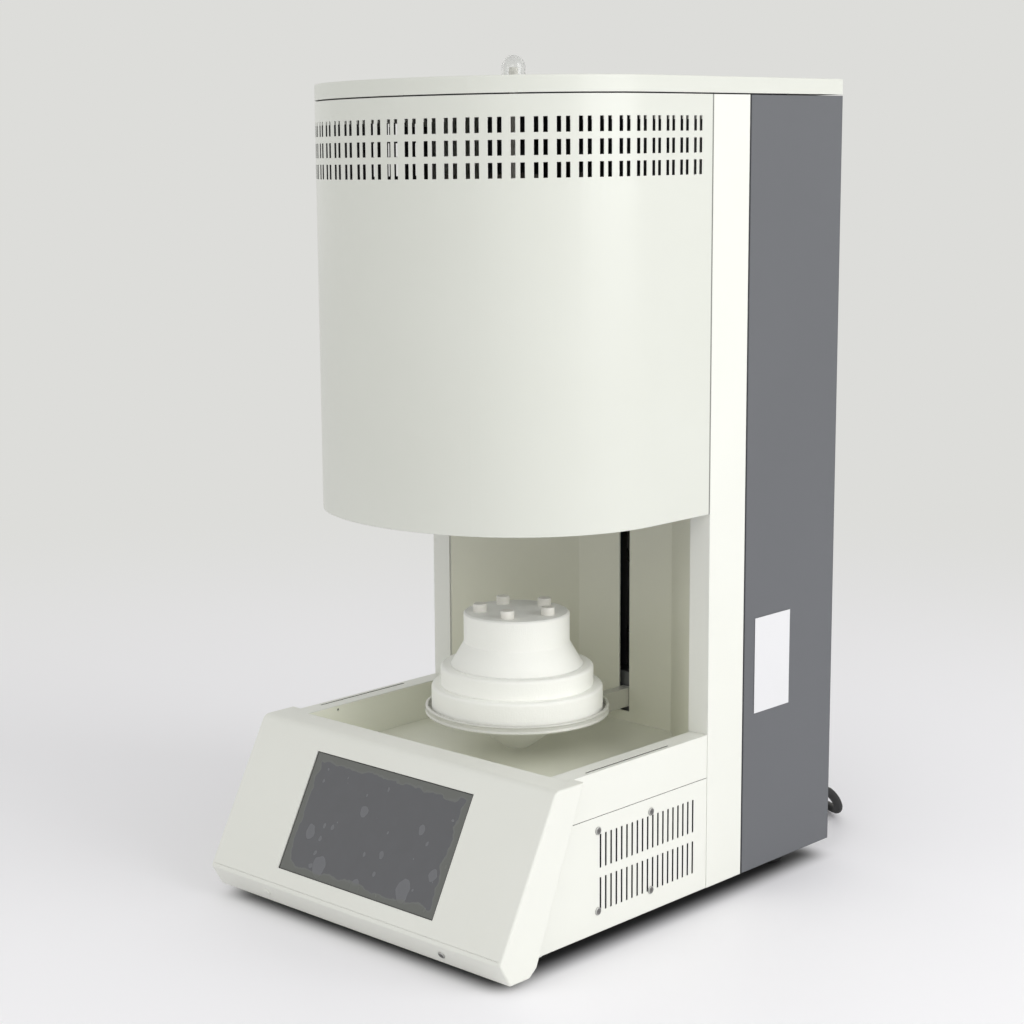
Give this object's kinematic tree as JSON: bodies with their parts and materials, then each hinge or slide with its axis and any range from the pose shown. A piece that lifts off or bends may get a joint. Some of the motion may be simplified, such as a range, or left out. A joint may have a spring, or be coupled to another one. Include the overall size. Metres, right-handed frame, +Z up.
{
  "type": "dental sintering furnace",
  "caption": "Bench sintering furnace with a curved housing over an open bay, a fibre plug on a motor lift, and a sloping touch screen in front.",
  "frame": {"origin": "on the table top, under the middle of the footprint", "axes": "+X to the right as seen from the front, +Y from the front to the back, +Z up"},
  "size_m": [0.3634, 0.6291, 0.759],
  "materials": {
    "white_coat": "satin white powder coat",
    "grey_coat": "fine textured grey powder coat",
    "black_coat": "black enamel",
    "zinc_sheet": "zinc-plated sheet steel",
    "satin_steel": "turned and bead-blasted stainless steel",
    "bright_steel": "bright plated steel",
    "strap_metal": "plain aluminium",
    "element_metal": "grey silicide rod",
    "core_iron": "varnished laminations",
    "brass_nut": "plain brass",
    "fibre_board": "matt white ceramic fibre board",
    "dense_ceramic": "dense off-white ceramic",
    "black_plastic": "matt black plastic",
    "board_green": "green circuit board",
    "clear_plastic": "clear moulded plastic",
    "screen_glass": "dark touch glass",
    "black_rubber": "matt black rubber"
  },
  "bodies": {
    "cabinet": {"base_pan": "zinc_sheet", "rubber_feet": "black_rubber", "bay_tray": "white_coat", "front_console": "white_coat", "screen_glass": "screen_glass", "display_module": "black_plastic", "left_vent_panel": "white_coat", "right_vent_panel": "white_coat", "fan_frame": "black_plastic", "left_column_post": "white_coat", "right_column_post": "white_coat", "bay_back_panel": "white_coat", "left_side_panel": "grey_coat", "right_side_panel": "grey_coat", "rear_panel": "grey_coat", "top_cover": "white_coat", "roof_rails": "zinc_sheet", "panel_screws": "bright_steel", "drum_shell": "white_coat", "chamber_deck": "zinc_sheet", "chamber_can": "zinc_sheet", "mouth_lower_ring": "fibre_board", "mouth_middle_ring": "fibre_board", "mouth_throat_ring": "fibre_board", "hot_face_ring": "fibre_board", "outer_insulation_ring": "fibre_board", "insulation_lid": "fibre_board", "heating_elements": "element_metal", "element_clamps": "dense_ceramic", "terminal_straps": "strap_metal", "temperature_probe": "dense_ceramic", "probe_dome": "clear_plastic", "lift_mast": "zinc_sheet", "lift_rail": "bright_steel", "screw_top_bearing": "bright_steel", "motor_bracket": "zinc_sheet", "lift_motor": "black_coat", "transformer_core": "core_iron", "transformer_coil": "black_coat", "control_board": "board_green", "power_switch": "black_plastic", "cable_gland": "black_plastic", "cord_lead": "black_rubber", "cord_coil": "black_rubber", "mains_plug": "black_plastic"},
    "lift_table": {"support_dish": "satin_steel", "dish_hub": "satin_steel", "lift_arm": "satin_steel", "plug_base": "fibre_board", "plug_middle": "fibre_board", "plug_top": "fibre_board", "support_pegs": "dense_ceramic", "lift_carriage": "zinc_sheet", "rail_block": "bright_steel", "lift_nut": "brass_nut"},
    "screw_drive": {"lead_screw": "bright_steel", "motor_shaft": "bright_steel", "shaft_coupling": "strap_metal"},
    "vent_fan": {"fan_rotor": "black_plastic"},
    "switch_rocker": {"power_rocker": "black_plastic"}
  },
  "joints": [
    {"name": "table_lift", "type": "slide", "parent": "cabinet", "child": "lift_table", "axis": [0, 0, 1], "range_m": [0, 0.186]},
    {"name": "screw_turn", "type": "hinge", "parent": "cabinet", "child": "screw_drive", "pos_m": [0.032, 0.1615, 0.2], "axis": [0, 0, 1], "range_deg": [0, 6700]},
    {"name": "fan_spin", "type": "hinge", "parent": "cabinet", "child": "vent_fan", "pos_m": [0.16, -0.074, 0.0711], "axis": [1, 0, 0], "continuous": true},
    {"name": "rocker_tilt", "type": "hinge", "parent": "cabinet", "child": "switch_rocker", "pos_m": [-0.11, 0.229, 0.076], "axis": [1, 0, 0], "range_deg": [0, 14]}
  ],
  "couplings": [
    {"joint": "screw_turn", "follows": "table_lift", "rad_per_m": 628.32}
  ]
}
